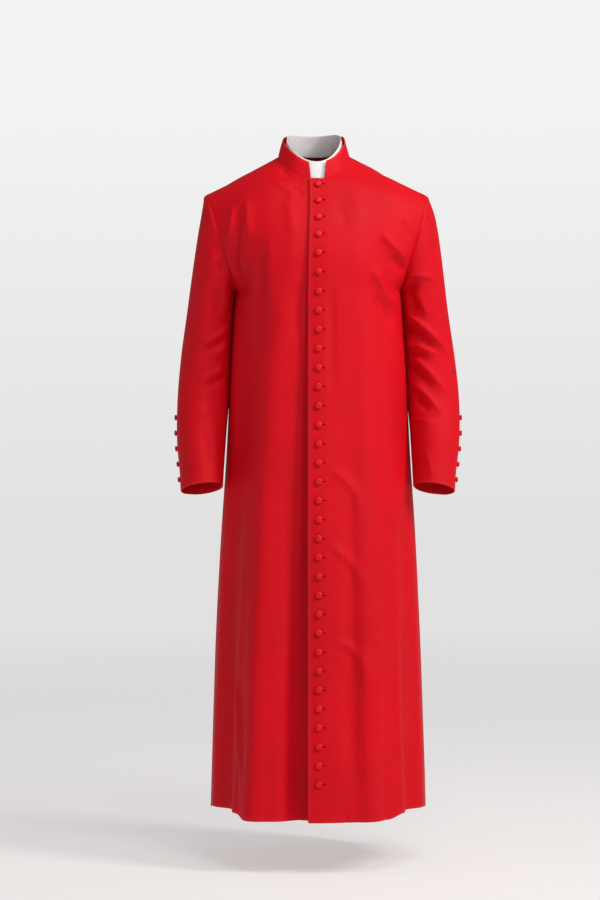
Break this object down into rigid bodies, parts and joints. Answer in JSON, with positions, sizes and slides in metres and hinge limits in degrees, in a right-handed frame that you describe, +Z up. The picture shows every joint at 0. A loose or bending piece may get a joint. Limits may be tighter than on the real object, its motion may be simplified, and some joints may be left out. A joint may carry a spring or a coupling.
{
  "type": "cassock",
  "caption": "Full-length worn cassock, hollow, with set-in long sleeves, a low notched stand collar with a white band, and small covered buttons from neck to hem and at the cuffs.",
  "frame": {"origin": "middle of the neck opening, level with the points where the shoulder seams meet the collar, where the wearer's neck and shoulders carry the garment", "axes": "+Z up along the body, -Y towards the buttoned front, +X towards the wearer's left"},
  "size_m": [0.6376, 0.485, 1.4945],
  "materials": {
    "red_cloth": "smooth plain-weave wool blend with a soft sheen",
    "button_cover": "same cloth, stretched over domed button moulds",
    "white_band": "smooth wipe-clean band, satin"
  },
  "bodies": {
    "root": {"front_left": "red_cloth", "front_right": "red_cloth", "back": "red_cloth", "sleeve_left": "red_cloth", "sleeve_right": "red_cloth", "collar": "red_cloth", "collar_insert": "white_band", "button_front_01": "button_cover", "button_front_02": "button_cover", "button_front_03": "button_cover", "button_front_04": "button_cover", "button_front_05": "button_cover", "button_front_06": "button_cover", "button_front_07": "button_cover", "button_front_08": "button_cover", "button_front_09": "button_cover", "button_front_10": "button_cover", "button_front_11": "button_cover", "button_front_12": "button_cover", "button_front_13": "button_cover", "button_front_14": "button_cover", "button_front_15": "button_cover", "button_front_16": "button_cover", "button_front_17": "button_cover", "button_front_18": "button_cover", "button_front_19": "button_cover", "button_front_20": "button_cover", "button_front_21": "button_cover", "button_front_22": "button_cover", "button_front_23": "button_cover", "button_front_24": "button_cover", "button_front_25": "button_cover", "button_front_26": "button_cover", "button_front_27": "button_cover", "button_front_28": "button_cover", "button_front_29": "button_cover", "button_front_30": "button_cover", "button_front_31": "button_cover", "button_front_32": "button_cover", "button_front_33": "button_cover", "button_cuff_left_1": "button_cover", "button_cuff_left_2": "button_cover", "button_cuff_left_3": "button_cover", "button_cuff_left_4": "button_cover", "button_cuff_left_5": "button_cover", "button_cuff_right_1": "button_cover", "button_cuff_right_2": "button_cover", "button_cuff_right_3": "button_cover", "button_cuff_right_4": "button_cover", "button_cuff_right_5": "button_cover"}
  },
  "joints": []
}
